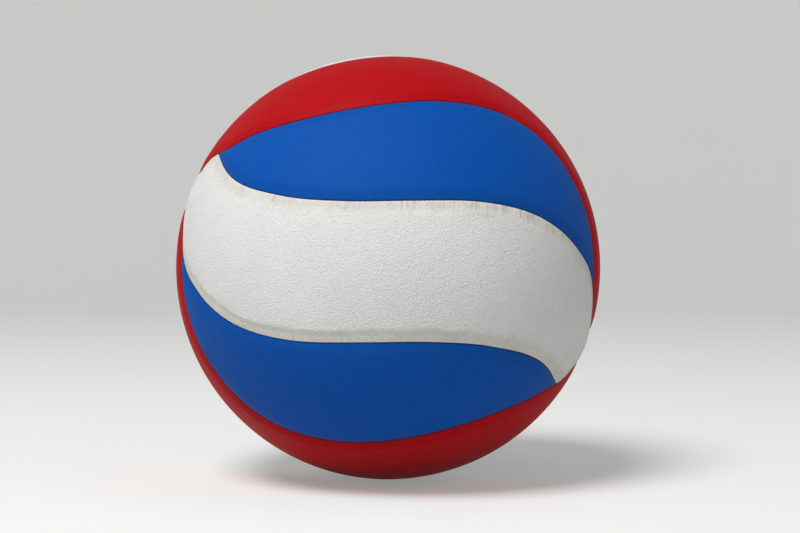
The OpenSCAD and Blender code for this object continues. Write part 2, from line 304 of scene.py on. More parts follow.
def pu_leather(name, colours, roughness, grain_depth, crease_depth, edge_width, sizes):
    """Polyurethane synthetic leather, embossed with a fine pebble grain.

    Matt, with tiny domes that break up the highlights. Where the skin is pulled down to a seam
    the grain flattens, fine creases run across the band, and the cut edge shows as a thin line.
    """
    base, edge, fold, rim = colours
    band_reach = 1.15           # the finish changes a little beyond the band
    crease_stretch = 0.25       # creases are four times as long as they are apart
    patch_length = 0.015
    clouds_per_metre = 26.0     # tones of some 40 mm
    smears_per_metre = 180.0    # the band's tones wander over some 6 mm
    rim_start, rim_end = 0.6, 1.4       # the rim's colour fades between these shares of its width
    edge_end, fold_place = 0.35, 0.7    # places of the other tones, as shares of the band's width
    material, tree, surface = new_material(name)
    place = add_node(tree, "ShaderNodeTexCoord").outputs["Object"]
    distance = add_node(tree, "ShaderNodeAttribute", attribute_name="seam_distance").outputs["Fac"]
    along = add_node(tree, "ShaderNodeAttribute", attribute_name="seam_run").outputs["Fac"]

    band = add_node(
        tree, "ShaderNodeMapRange",
        {"Value": distance, "From Min": 0.0, "From Max": edge_width * band_reach,
         "To Min": 1.0, "To Max": 0.0},
        interpolation_type="SMOOTHSTEP").outputs["Result"]

    # Pebbles with rounded tops, and pores of about the same width.
    pebbles = add_node(
        tree, "ShaderNodeTexVoronoi",
        {"Vector": place, "Scale": 1 / sizes.grain_size, "Smoothness": 0.8, "Randomness": 1.0},
        feature="SMOOTH_F1").outputs["Distance"]
    pores = add_node(
        tree, "ShaderNodeTexNoise",
        {"Vector": place, "Scale": 1 / sizes.grain_size, "Detail": 2.0, "Roughness": 0.5}).outputs["Fac"]
    domes = add_node(
        tree, "ShaderNodeMath", {0: pebbles, 1: -1.0, 2: 0.7}, operation="MULTIPLY_ADD").outputs[0]
    grain = add_node(
        tree, "ShaderNodeMath", {0: pores, 1: 0.7, 2: domes}, operation="MULTIPLY_ADD").outputs[0]
    # The grain is half as deep in the stretched band.
    flatten = add_node(
        tree, "ShaderNodeMath", {0: band, 1: -0.5, 2: 1.0}, operation="MULTIPLY_ADD").outputs[0]
    relief = add_node(tree, "ShaderNodeMath", {0: grain, 1: flatten}, operation="MULTIPLY").outputs[0]

    # Creases run across the band, so they are short along the seam and long across it.
    run = add_node(
        tree, "ShaderNodeMath", {0: along, 1: 1 / sizes.wrinkle_spacing}, operation="MULTIPLY").outputs[0]
    across = add_node(
        tree, "ShaderNodeMath", {0: distance, 1: crease_stretch / sizes.wrinkle_spacing},
        operation="MULTIPLY").outputs[0]
    crease_place = add_node(tree, "ShaderNodeCombineXYZ", {"X": run, "Y": across}).outputs[0]
    creases = add_node(
        tree, "ShaderNodeTexNoise",
        {"Vector": crease_place, "Scale": 1.0, "Detail": 3.0, "Roughness": 0.6,
         "Distortion": 0.5}).outputs["Fac"]
    # They come in patches.
    patches = add_node(
        tree, "ShaderNodeTexNoise", {"W": along, "Scale": 1 / patch_length, "Detail": 1.0},
        noise_dimensions="1D").outputs[0]
    patches = add_node(
        tree, "ShaderNodeMapRange",
        {"Value": patches, "From Min": 0.38, "From Max": 0.62,
         "To Min": 0.35, "To Max": 1.0}).outputs["Result"]
    creases = add_node(tree, "ShaderNodeMath", {0: creases, 1: patches}, operation="MULTIPLY").outputs[0]
    creases = add_node(tree, "ShaderNodeMath", {0: creases, 1: band}, operation="MULTIPLY").outputs[0]

    bump = add_node(
        tree, "ShaderNodeBump", {"Height": relief, "Strength": 1.0, "Distance": grain_depth})
    bump = add_node(
        tree, "ShaderNodeBump",
        {"Height": creases, "Strength": 1.0, "Distance": crease_depth, "Normal": bump.outputs["Normal"]})

    # Handling leaves broad, faint differences in tone, and the hollows of the grain get painted shade.
    clouds = add_node(
        tree, "ShaderNodeTexNoise",
        {"Vector": place, "Scale": clouds_per_metre, "Detail": 4.0, "Roughness": 0.6}).outputs["Fac"]
    tone = add_node(
        tree, "ShaderNodeMapRange",
        {"Value": clouds, "From Min": 0.3, "From Max": 0.7,
         "To Min": 0.96, "To Max": 1.02}).outputs["Result"]
    # Painted shade: where the grain dips, its colour is drawn a little darker.
    hollows = add_node(
        tree, "ShaderNodeMapRange",
        {"Value": grain, "From Min": 0.45, "From Max": 0.75,
         "To Min": 0.93, "To Max": 1.01}).outputs["Result"]
    tone = add_node(tree, "ShaderNodeMath", {0: tone, 1: hollows}, operation="MULTIPLY").outputs[0]
    # From the seam inwards: the cut edge, the stretched band, its fold, and the plain skin.
    inward = add_node(
        tree, "ShaderNodeMath", {0: distance, 1: 1 / edge_width}, operation="MULTIPLY").outputs[0]
    smear = add_node(
        tree, "ShaderNodeTexNoise",
        {"Vector": place, "Scale": smears_per_metre, "Detail": 1.0}).outputs["Fac"]
    smear = add_node(
        tree, "ShaderNodeMapRange",
        {"Value": smear, "From Min": 0.25, "From Max": 0.75,
         "To Min": 0.75, "To Max": 1.25}).outputs["Result"]
    inward = add_node(tree, "ShaderNodeMath", {0: inward, 1: smear}, operation="MULTIPLY").outputs[0]
    tint = add_node(tree, "ShaderNodeValToRGB", {0: inward})
    stops = tint.color_ramp.elements
    stops[0].position, stops[0].color = sizes.rim_width * rim_start / edge_width, rgba(rim)
    stops[1].position, stops[1].color = 1.0, rgba(base)
    for place_in_band, shade in (
        (sizes.rim_width * rim_end / edge_width, edge), (edge_end, edge), (fold_place, fold),
    ):
        stops.new(place_in_band).color = rgba(shade)
    finish_surface(tree, surface, tint.outputs["Color"], tone, bump)

    rough = add_node(
        tree, "ShaderNodeMapRange",
        {"Value": clouds, "From Min": 0.3, "From Max": 0.7,
         "To Min": roughness - 0.04, "To Max": roughness + 0.05}).outputs["Result"]
    tree.links.new(rough, surface.inputs["Roughness"])
    surface.inputs["IOR"].default_value = 1.46
    surface.inputs["Specular IOR Level"].default_value = 0.1
    return material


def cell_foam(name, base):
    """Closed-cell EVA foam sheet, split from a block: matt, with a fine open-cut cell pattern."""
    cell_size = 0.00035
    material, tree, surface = new_material(name)
    place = add_node(tree, "ShaderNodeTexCoord").outputs["Object"]
    cells = add_node(
        tree, "ShaderNodeTexVoronoi", {"Vector": place, "Scale": 1 / cell_size}).outputs["Distance"]
    clouds = add_node(
        tree, "ShaderNodeTexNoise", {"Vector": place, "Scale": 90.0, "Detail": 3.0}).outputs["Fac"]
    pitted = add_node(
        tree, "ShaderNodeMapRange",
        {"Value": cells, "From Min": 0.0, "From Max": 0.5,
         "To Min": 0.72, "To Max": 1.0}).outputs["Result"]
    tone = add_node(
        tree, "ShaderNodeMath", {0: clouds, 1: 0.2, 2: pitted}, operation="MULTIPLY_ADD").outputs[0]
    bump = add_node(tree, "ShaderNodeBump", {"Height": cells, "Strength": 0.8, "Distance": 0.0001})
    finish_surface(tree, surface, tuple(base), tone, bump)
    surface.inputs["Roughness"].default_value = 0.9
    surface.inputs["Sheen Weight"].default_value = 0.15
    return material


def twisted_nylon(name, base):
    """Nylon filament thread dipped in latex: satin, with a fine twist and darker hollows."""
    filament = 0.00012          # drawn as coarse as it needs to be to show
    material, tree, surface = new_material(name)
    place = add_node(tree, "ShaderNodeTexCoord").outputs["Object"]
    strands = add_node(
        tree, "ShaderNodeTexNoise",
        {"Vector": place, "Scale": 1 / filament, "Detail": 2.0, "Roughness": 0.7}).outputs["Fac"]
    tone = add_node(
        tree, "ShaderNodeMapRange",
        {"Value": strands, "From Min": 0.3, "From Max": 0.7,
         "To Min": 0.8, "To Max": 1.04}).outputs["Result"]
    bump = add_node(
        tree, "ShaderNodeBump", {"Height": strands, "Strength": 0.6, "Distance": 0.00005})
    finish_surface(tree, surface, tuple(base), tone, bump)
    surface.inputs["Roughness"].default_value = 0.45
    surface.inputs["IOR"].default_value = 1.53
    return material


def moulded_rubber(name, base, roughness, speck_size, depth):
    """Moulded rubber: dark or pale, with the fine texture of a blasted mould and a faint bloom."""
    material, tree, surface = new_material(name)
    place = add_node(tree, "ShaderNodeTexCoord").outputs["Object"]
    specks = add_node(
        tree, "ShaderNodeTexNoise",
        {"Vector": place, "Scale": 1 / speck_size, "Detail": 3.0, "Roughness": 0.65}).outputs["Fac"]
    bloom = add_node(
        tree, "ShaderNodeTexNoise",
        {"Vector": place, "Scale": 40.0, "Detail": 5.0, "Roughness": 0.6}).outputs["Fac"]
    tone = add_node(
        tree, "ShaderNodeMapRange",
        {"Value": bloom, "From Min": 0.3, "From Max": 0.7,
         "To Min": 0.9, "To Max": 1.15}).outputs["Result"]
    rough = add_node(
        tree, "ShaderNodeMapRange",
        {"Value": bloom, "From Min": 0.3, "From Max": 0.7,
         "To Min": roughness - 0.06, "To Max": roughness + 0.08}).outputs["Result"]
    tree.links.new(rough, surface.inputs["Roughness"])
    bump = add_node(tree, "ShaderNodeBump", {"Height": specks, "Strength": 0.5, "Distance": depth})
    finish_surface(tree, surface, tuple(base), tone, bump)
    surface.inputs["IOR"].default_value = 1.52
    return material


def rubber_of(piece_name, colours):
    """The rubber that a piece is made of."""
    name, colour_name, roughness, speck_size, depth = RUBBERS[piece_name]
    return moulded_rubber(name, getattr(colours, colour_name), roughness, speck_size, depth)


def dress(node_name, material):
    """Gives a carried-over frame node its material."""
    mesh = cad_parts[node_name].data
    if not mesh.materials:
        mesh.materials.append(material)
    for slot in range(len(mesh.materials)):
        mesh.materials[slot] = material


# ---------------------------------------------------------------- seam curve

def direction(longitude, latitude):
    """Unit vectors of points given in degrees about the pole axis."""
    l, m = np.radians(longitude), np.radians(latitude)
    return np.stack([np.cos(m) * np.cos(l), np.cos(m) * np.sin(l), np.sin(m)], axis=-1)


def seam_at(m, shifts):
    """Longitude of a seam between two leaf tips, by cubic spans over its shifted table."""
    step = TIP_LATITUDE / 4
    table = np.array([SECTOR - TIP_LONGITUDE, *SEAM_LONGITUDES, TIP_LONGITUDE])
    slopes = np.concatenate([
        [FLAT_END_SLOPE], (table[2:-1] - table[:-3]) / 2, [STEEP_SIDE_SLOPE, STEEP_END_SLOPE]])
    stray = np.array([0.0, *shifts, 0.0])
    table = table + stray
    slopes[1:-1] += (stray[2:] - stray[:-2]) / 2
    i = np.clip(np.floor((m + TIP_LATITUDE) / step), 0, len(table) - 2).astype(int)
    t = (m + TIP_LATITUDE) / step - i
    return (
        table[i] * (1 + 2 * t) * (1 - t) ** 2 + slopes[i] * t * (1 - t) ** 2
        + table[i + 1] * t ** 2 * (3 - 2 * t) - slopes[i + 1] * t ** 2 * (1 - t)
    )


def panel_edge(is_leaf, m, shifts):
    """Longitude of a panel's edge from its own middle. The other edge is its half turn."""
    m = np.asarray(m, float)
    if is_leaf:
        return SECTOR / 2 - seam_at(-m, shifts)
    run = (np.abs(m) - TIP_LATITUDE) / (90 - TIP_LATITUDE)
    pole = TIP_LONGITUDE + POLE_TURN * np.maximum(run, 0)
    middle = seam_at(np.clip(m, -TIP_LATITUDE, TIP_LATITUDE), shifts)
    return np.where(m > TIP_LATITUDE, pole, np.where(m < -TIP_LATITUDE, SECTOR - pole, middle))


def half_turn(points):
    return points * np.array([1.0, -1.0, -1.0])


def edge_line(is_leaf, shifts):
    """Unit vectors along a panel's edge, and the unit vectors of its run."""
    near_pole = 89.999
    end = TIP_LATITUDE if is_leaf else near_pole
    m = np.linspace(-end, end, SEAM_SAMPLES)
    points = direction(panel_edge(is_leaf, m, shifts), m)
    run = np.gradient(points, axis=0)
    run /= np.linalg.norm(run, axis=1)[:, None]
    return points, run


def inset_edge(is_leaf, shifts, inset):
    """Latitudes and longitudes of the edge moved towards the panel's middle by an angle."""
    points, run = edge_line(is_leaf, shifts)
    inward = np.cross(points, run)
    moved = points * math.cos(inset) + inward * math.sin(inset)
    latitude = np.degrees(np.arcsin(np.clip(moved[:, 2], -1, 1)))
    longitude = np.degrees(np.unwrap(np.arctan2(moved[:, 1], moved[:, 0])))
    order = np.argsort(latitude)
    return latitude[order], longitude[order]


def panel_rows(is_leaf, shifts, inset, blunt, radius, rows):
    """Latitudes of the rows, and the longitudes of both edges on each row."""
    near, far = (inset_edge(is_leaf, own, inset) for own in shifts)
    fine = np.linspace(0, min(near[0][-1], -near[0][0]), WIDTH_SAMPLES)
    right = np.interp(fine, *near)
    left = -np.interp(-fine, *far)
    width = np.radians(right - left) * np.cos(np.radians(fine)) * radius
    wide = width > blunt
    last = fine[np.argmin(wide) - 1] if not wide.all() else fine[-1]
    u = np.linspace(-1, 1, rows)
    m = last * (u + ROW_GATHER * np.sin(np.pi * u) / np.pi)
    return m, -np.interp(-m, *far), np.interp(m, *near)


def panel_grid(is_leaf, shifts, inset, blunt, radius, rows, columns, gather):
    """Unit vectors of a grid over a panel. gather draws the columns towards the edges."""
    m, left, right = panel_rows(is_leaf, shifts, inset, blunt, radius, rows)
    s = np.linspace(0, 1, columns)
    t = s - gather * np.sin(2 * np.pi * s) / (2 * np.pi)
    longitude = left[:, None] + (right - left)[:, None] * t[None, :]
    return direction(longitude, np.repeat(m[:, None], columns, axis=1))


def seam_fields(is_leaf, shifts, points, radius):
    """Distance from each point to the nearest seam, and how far along that seam it lies."""
    near_side, far_side = (edge_line(is_leaf, own) for own in shifts)
    best = np.full(len(points), np.inf)
    place = np.zeros(len(points))
    for offset, (curve, tangent) in enumerate((near_side, map(half_turn, far_side))):
        steps = np.linalg.norm(np.diff(curve, axis=0), axis=1)
        along = np.concatenate([[0], np.cumsum(steps)])
        for start in range(0, len(points), POINTS_AT_ONCE):
            part = slice(start, start + POINTS_AT_ONCE)
            some = points[part]
            near = np.argmax(some @ curve.T, axis=1)
            reach = some - curve[near]
            slide = np.clip(np.sum(reach * tangent[near], axis=1), -steps.max(), steps.max())
            gap = np.sqrt(np.maximum(np.sum(reach ** 2, axis=1) - slide ** 2, 0))
            better = gap < best[part]
            best[part][better] = gap[better]
            place[part][better] = (along[near] + slide)[better] + SECOND_SEAM_RUN * offset
    return best * radius, place * radius


def on_ball(points, longitude):
    """Turns points from a panel's own frame to its place on the ball."""
    turn = (
        Matrix.Rotation(math.radians(90 - POLE_ANGLE), 3, "Y")
        @ Matrix.Rotation(math.radians(longitude - 90), 3, "Z")
    )
    return points @ np.array(turn).T


# ---------------------------------------------------------------- meshes

def sheet_faces(rows, outer_columns, inner_columns):
    """Faces of a closed sheet: an outer grid, an inner grid, two side walls and two blunt ends."""
    start = rows * outer_columns
    outer = np.arange(start).reshape(rows, outer_columns)
    inner = start + np.arange(rows * inner_columns).reshape(rows, inner_columns)
    faces = []
    for i in range(rows - 1):
        for j in range(outer_columns - 1):
            faces.append((outer[i, j], outer[i, j + 1], outer[i + 1, j + 1], outer[i + 1, j]))
        for j in range(inner_columns - 1):
            faces.append((inner[i, j], inner[i + 1, j], inner[i + 1, j + 1], inner[i, j + 1]))
        faces.append((outer[i, 0], outer[i + 1, 0], inner[i + 1, 0], inner[i, 0]))
        faces.append((outer[i, -1], inner[i, -1], inner[i + 1, -1], outer[i + 1, -1]))
    faces.append((*inner[0], *outer[0][::-1]))
    faces.append((*outer[-1], *inner[-1][::-1]))
    return [tuple(int(v) for v in face) for face in faces]


def mesh_object(name, points, faces, fields=None):
    """A mesh object in the ball's frame, with its point attributes."""
    mesh = bpy.data.meshes.new(name)
    mesh.from_pydata(points.tolist(), [], faces)
    for key, values in (fields or {}).items():
        field = mesh.attributes.new(key, "FLOAT", "POINT")
        field.data.foreach_set("value", values.astype(np.float32))
    mesh.validate()
    piece = bpy.data.objects.new(name, mesh)
    bpy.context.scene.collection.objects.link(piece)
    return piece


def smooth(mesh, angle):
    """Smooth shading that keeps corners sharper than the angle."""
    mesh.shade_smooth()
    mesh.set_sharp_from_angle(angle=math.radians(angle))


def bake_modifiers(piece):
    """Turns the piece and its modifiers into a plain mesh."""
    graph = bpy.context.evaluated_depsgraph_get()
    plain = bpy.data.meshes.new_from_object(piece.evaluated_get(graph), depsgraph=graph)
    piece.modifiers.clear()
    old = piece.data
    piece.data = plain
    name = old.name
    bpy.data.meshes.remove(old)
    plain.name = name
    return piece


def apply_tree(piece, tree, values):
    """Adds a Geometry Nodes modifier, sets its inputs by identifier and bakes it."""
    modifier = piece.modifiers.new(tree.name, "NODES")
    modifier.node_group = tree
    for item in tree.interface.items_tree:
        if item.item_type == "SOCKET" and item.in_out == "INPUT" and item.name in values:
            modifier[item.identifier] = values[item.name]
    return bake_modifiers(piece)


def new_tree(name, inputs):
    """An empty Geometry Nodes tree with its named inputs."""
    tree = bpy.data.node_groups.new(name, "GeometryNodeTree")
    tree.interface.new_socket("Geometry", in_out="INPUT", socket_type="NodeSocketGeometry")
    for label, kind in inputs:
        tree.interface.new_socket(label, in_out="INPUT", socket_type=kind)
    tree.interface.new_socket("Geometry", in_out="OUTPUT", socket_type="NodeSocketGeometry")
    return tree, tree.nodes.new("NodeGroupInput").outputs, tree.nodes.new("NodeGroupOutput")


def end_tree(tree, given, output, made):
    """Ends a tree in real geometry with its material."""
    made = add_node(tree, "GeometryNodeRealizeInstances", {"Geometry": made}).outputs[0]
    made = add_node(
        tree, "GeometryNodeSetMaterial", {"Geometry": made, "Material": given["Material"]}).outputs[0]
    tree.links.new(made, output.inputs[0])
    return tree


def crown_tree():
    """Turns the edge of a flat-laid skin down to its seam, with small waves along the edge."""
    run_length = 0.03           # the band grows wider and narrower over this way
    fall_power = 1.75           # how rounded the edge is
    fold_place = 0.58           # share of the band, from inside, where its nearly level strip begins
    wave_gain = 8.0             # makes up for the noise and the swell, which are both well below 1
    tree, given, output = new_tree("Crowned panel", (
        ("Edge Width", "NodeSocketFloat"), ("Edge Depth", "NodeSocketFloat"),
        ("Step Share", "NodeSocketFloat"), ("Band Wander", "NodeSocketFloat"),
        ("Pucker Depth", "NodeSocketFloat"), ("Pucker Spacing", "NodeSocketFloat"),
        ("Lip Width", "NodeSocketFloat"), ("Lip Depth", "NodeSocketFloat"),
        ("Seed", "NodeSocketInt"), ("Material", "NodeSocketMaterial"),
    ))
    fields = {
        key: add_node(
            tree, "GeometryNodeInputNamedAttribute", {"Name": key}, data_type="FLOAT").outputs[0]
        for key in ("seam_distance", "seam_run", "outer_side", "hole_distance")
    }
    # The band is a little wider and narrower along its way.
    runs = add_node(
        tree, "ShaderNodeMath", {0: fields["seam_run"], 1: 1 / run_length, 2: given["Seed"]},
        operation="MULTIPLY_ADD").outputs[0]
    wander = add_node(
        tree, "ShaderNodeTexNoise", {"W": runs, "Scale": 1.0, "Detail": 1.0},
        noise_dimensions="1D").outputs[0]
    wander = add_node(tree, "ShaderNodeMath", {0: wander, 1: 0.5}, operation="SUBTRACT").outputs[0]
    wander = add_node(
        tree, "ShaderNodeMath", {0: wander, 1: given["Band Wander"], 2: 1.0},
        operation="MULTIPLY_ADD").outputs[0]
    reach = add_node(
        tree, "ShaderNodeMath", {0: fields["seam_distance"], 1: wander}, operation="MULTIPLY").outputs[0]
    # How near the seam a point lies: 1 at the seam, 0 at the inner end of the band.
    near = add_node(tree, "ShaderNodeMapRange", {
        "Value": reach, "From Min": 0.0, "From Max": given["Edge Width"],
        "To Min": 1.0, "To Max": 0.0}).outputs["Result"]
    fall = add_node(tree, "ShaderNodeMath", {0: near, 1: fall_power}, operation="POWER").outputs[0]
    # The step: a soft fold in the outer half of the band, with a nearly level strip beside the seam.
    fold = add_node(tree, "ShaderNodeMapRange", {
        "Value": near, "From Min": 0.0, "From Max": fold_place, "To Min": 0.0, "To Max": 1.0},
        interpolation_type="SMOOTHSTEP").outputs["Result"]
    lean = add_node(tree, "ShaderNodeMath", {0: fold, 1: fall}, operation="SUBTRACT").outputs[0]
    fall = add_node(
        tree, "ShaderNodeMath", {0: lean, 1: given["Step Share"], 2: fall},
        operation="MULTIPLY_ADD").outputs[0]
    drop = add_node(
        tree, "ShaderNodeMath", {0: fall, 1: given["Edge Depth"]}, operation="MULTIPLY").outputs[0]
    lip = add_node(tree, "ShaderNodeMapRange", {
        "Value": fields["hole_distance"], "From Min": 0.0, "From Max": given["Lip Width"],
        "To Min": 1.0, "To Max": 0.0}, interpolation_type="SMOOTHSTEP").outputs["Result"]
    drop = add_node(
        tree, "ShaderNodeMath", {0: lip, 1: given["Lip Depth"], 2: drop},
        operation="MULTIPLY_ADD").outputs[0]
    # Waves are strongest halfway down the band.
    far = add_node(tree, "ShaderNodeMath", {0: 1.0, 1: near}, operation="SUBTRACT").outputs[0]
    swell = add_node(tree, "ShaderNodeMath", {0: near, 1: far}, operation="MULTIPLY").outputs[0]
    turns = add_node(
        tree, "ShaderNodeMath", {0: fields["seam_run"], 1: given["Pucker Spacing"]},
        operation="DIVIDE").outputs[0]
    turns = add_node(tree, "ShaderNodeMath", {0: turns, 1: given["Seed"]}, operation="ADD").outputs[0]
    waves = add_node(
        tree, "ShaderNodeTexNoise", {"W": turns, "Scale": 1.0, "Detail": 2.0},
        noise_dimensions="1D").outputs[0]
    # The waves only dip, so the skin never stands outside the ball. The drop of the edge follows.
    for operation, value in (
        ("SUBTRACT", 0.5), ("MULTIPLY", swell), ("MULTIPLY", wave_gain),
        ("MULTIPLY", given["Pucker Depth"]), ("MINIMUM", 0.0),
        ("SUBTRACT", drop), ("MULTIPLY", fields["outer_side"]),
    ):
        waves = add_node(tree, "ShaderNodeMath", {0: waves, 1: value}, operation=operation).outputs[0]
    outward = add_node(
        tree, "ShaderNodeVectorMath", {0: tree.nodes.new("GeometryNodeInputPosition").outputs[0]},
        operation="NORMALIZE").outputs[0]
    offset = add_node(
        tree, "ShaderNodeVectorMath", {0: outward, 3: waves}, operation="SCALE").outputs[0]
    crowned = add_node(
        tree, "GeometryNodeSetPosition", {"Geometry": given["Geometry"], "Offset": offset}).outputs[0]
    return end_tree(tree, given, output, crowned)


def winding_tree():
    """Turns of thread laid round the ball in every direction, kept off the valve's neck."""
    tree, given, output = new_tree("Thread winding", (
        ("Turns", "NodeSocketInt"), ("Winding Radius", "NodeSocketFloat"),
        ("Layer Spread", "NodeSocketFloat"), ("Thread Radius", "NodeSocketFloat"),
        ("Neck Share", "NodeSocketFloat"), ("Seed", "NodeSocketInt"), ("Material", "NodeSocketMaterial"),
    ))
    points = add_node(tree, "GeometryNodePoints", {"Count": given["Turns"]}).outputs[0]
    toss = add_node(
        tree, "FunctionNodeRandomValue", {0: (-1, -1, -1), 1: (1, 1, 1), "Seed": given["Seed"]},
        data_type="FLOAT_VECTOR").outputs[0]
    axis = add_node(tree, "ShaderNodeVectorMath", {0: toss}, operation="NORMALIZE").outputs[0]
    points = add_node(
        tree, "GeometryNodeStoreNamedAttribute", {"Geometry": points, "Name": "turn_axis", "Value": axis},
        data_type="FLOAT_VECTOR", domain="POINT").outputs[0]
    axis = add_node(
        tree, "GeometryNodeInputNamedAttribute", {"Name": "turn_axis"}, data_type="FLOAT_VECTOR").outputs[0]
    lean = add_node(
        tree, "ShaderNodeVectorMath", {0: axis, 1: tuple(VALVE_DIRECTION)},
        operation="DOT_PRODUCT").outputs["Value"]
    lean = add_node(tree, "ShaderNodeMath", {0: lean}, operation="ABSOLUTE").outputs[0]
    crosses = add_node(
        tree, "FunctionNodeCompare", {0: lean, 1: given["Neck Share"]},
        data_type="FLOAT", operation="LESS_THAN").outputs[0]
    points = add_node(
        tree, "GeometryNodeDeleteGeometry", {"Geometry": points, "Selection": crosses}).outputs[0]
    ring = add_node(
        tree, "GeometryNodeCurvePrimitiveCircle",
        {"Resolution": RING_POINTS, "Radius": given["Winding Radius"]}, mode="RADIUS").outputs[0]
    turn = add_node(tree, "FunctionNodeAlignRotationToVector", {"Vector": axis}, axis="Z").outputs[0]
    low = add_node(
        tree, "ShaderNodeMath", {0: 1.0, 1: given["Layer Spread"]}, operation="SUBTRACT").outputs[0]
    size = add_node(
        tree, "FunctionNodeRandomValue", {2: low, 3: 1.0, "Seed": given["Seed"]},
        data_type="FLOAT").outputs[1]
    rings = add_node(
        tree, "GeometryNodeInstanceOnPoints",
        {"Points": points, "Instance": ring, "Rotation": turn, "Scale": size}).outputs[0]
    rings = add_node(tree, "GeometryNodeRealizeInstances", {"Geometry": rings}).outputs[0]
    section = add_node(
        tree, "GeometryNodeCurvePrimitiveCircle",
        {"Resolution": THREAD_SIDES, "Radius": given["Thread Radius"]}, mode="RADIUS").outputs[0]
    threads = add_node(
        tree, "GeometryNodeCurveToMesh", {"Curve": rings, "Profile Curve": section}).outputs[0]
    both = tree.nodes.new("GeometryNodeJoinGeometry")
    tree.links.new(threads, both.inputs[0])
    tree.links.new(given["Geometry"], both.inputs[0])
    return end_tree(tree, given, output, both.outputs[0])


def bored_shell_mesh(name, outer, inner, neck, rounds=144, steps=96):
    """A hollow ball with a straight hole through its back, turned about the Y axis."""
    profile = []
    for radius, order in ((outer, 1), (inner, -1)):
        angles = np.linspace(math.asin(neck / radius), math.pi, steps)[::order]
        profile.append([(radius * math.sin(a), radius * math.cos(a)) for a in angles])
    points, faces = [], []
    turns = np.linspace(0, 2 * math.pi, rounds, endpoint=False)
    for ring in (*profile[0][:-1], *profile[1][1:]):
        points += [(ring[0] * math.cos(t), ring[1], ring[0] * math.sin(t)) for t in turns]
    rings = len(points) // rounds
    skin = steps - 2
    for k in range(rings):
        if k == skin:
            continue
        for i in range(rounds):
            j = (i + 1) % rounds
            k2 = (k + 1) % rings
            faces.append((k * rounds + i, k2 * rounds + i, k2 * rounds + j, k * rounds + j))
    for k, y in ((skin, -outer), (skin + 1, -inner)):
        points.append((0.0, y, 0.0))
        tip = len(points) - 1
        faces += [(k * rounds + i, k * rounds + (i + 1) % rounds, tip) for i in range(rounds)]
    piece = mesh_object(name, np.array(points), faces)
    solid = bmesh.new()
    solid.from_mesh(piece.data)
    bmesh.ops.recalc_face_normals(solid, faces=solid.faces)
    solid.to_mesh(piece.data)
    solid.free()
    return piece


def edge_form(sizes, finish):
    """Width of a panel's edge band, the fold's share of its drop, and the share of its waves."""
    if finish == "white":
        return sizes.white_edge_width, sizes.white_step_share, 1.0
    return sizes.coloured_edge_width, sizes.coloured_step_share, COLOURED_WAVE_SHARE


def cover_materials(scene):
    """The three synthetic leathers, made once."""
    sizes, colours = scene.ball_sizes, scene.ball_colours
    made = {}
    for finish, roughness, grain_depth, crease_depth in LEATHERS:
        name = f"{finish}_pu_leather"
        shades = [getattr(colours, f"{finish}_{part}") for part in ("cover", "edge", "fold", "rim")]
        made[finish] = bpy.data.materials.get(name) or pu_leather(
            name, shades, roughness, grain_depth, crease_depth, edge_form(sizes, finish)[0], sizes)
    return made


def make_covers(scene, leaves):
    """Makes the long panels or the leaves. Those with the same seams share one laid-out skin."""
    sizes = scene.ball_sizes
    rows, columns, under = LEAF_SKIN_GRID if leaves else PANEL_SKIN_GRID
    radius = sizes.ball_radius
    inset = sizes.seam_gap / 2 / radius
    laid = {}
    faces = sheet_faces(rows, columns, under)
    tree = bpy.data.node_groups.get("Crowned panel") or crown_tree()
    materials = cover_materials(scene)
    for seed, (node, is_leaf, longitude, *shifts, finish) in enumerate(COVERS):
        if is_leaf != leaves:
            continue
        if tuple(shifts) not in laid:
            outer, inner = (
                panel_grid(
                    leaves, shifts, inset, sizes.tip_width, radius, rows, across, gather).reshape(-1, 3)
                for across, gather in ((columns, EDGE_GATHER), (under, 0.0)))
            laid[tuple(shifts)] = outer, inner, *seam_fields(leaves, shifts, outer, radius)
        outer, inner, distance, run = laid[tuple(shifts)]
        inside = np.zeros(len(inner))
        shape = np.concatenate([outer * radius, inner * (radius - sizes.cover_thickness)])
        shape = on_ball(shape, longitude)
        hole = np.full(len(shape), NO_HOLE_NEAR)
        if node == VALVE_LEAF:
            lean = shape @ np.array(VALVE_DIRECTION) / np.linalg.norm(shape, axis=1)
            hole = np.arccos(np.clip(lean, -1, 1)) * radius - sizes.valve_hole_radius
        piece = mesh_object(f"skin_{node}", shape, faces, {
            "seam_distance": np.concatenate([distance, inside]),
            "seam_run": np.concatenate([run, inside]),
            "outer_side": np.concatenate([np.ones(len(outer)), inside]),
            "hole_distance": hole,
        })
        edge_width, step_share, wave_share = edge_form(sizes, finish)
        apply_tree(piece, tree, {
            "Edge Width": edge_width, "Edge Depth": sizes.edge_depth, "Step Share": step_share,
            "Band Wander": sizes.band_wander,
            "Pucker Depth": sizes.pucker_depth * wave_share, "Pucker Spacing": sizes.pucker_spacing,
            "Lip Width": sizes.valve_lip_width, "Lip Depth": sizes.valve_lip_depth,
            "Seed": FIRST_WAVE_SEED + seed * WAVE_SEED_STEP, "Material": materials[finish],
        })
        if node == VALVE_LEAF:
            bore(piece, "valve_hole", sizes.valve_hole_radius, radius)
        smooth(piece.data, angle=50)
        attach(piece, "root")
        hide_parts(node)


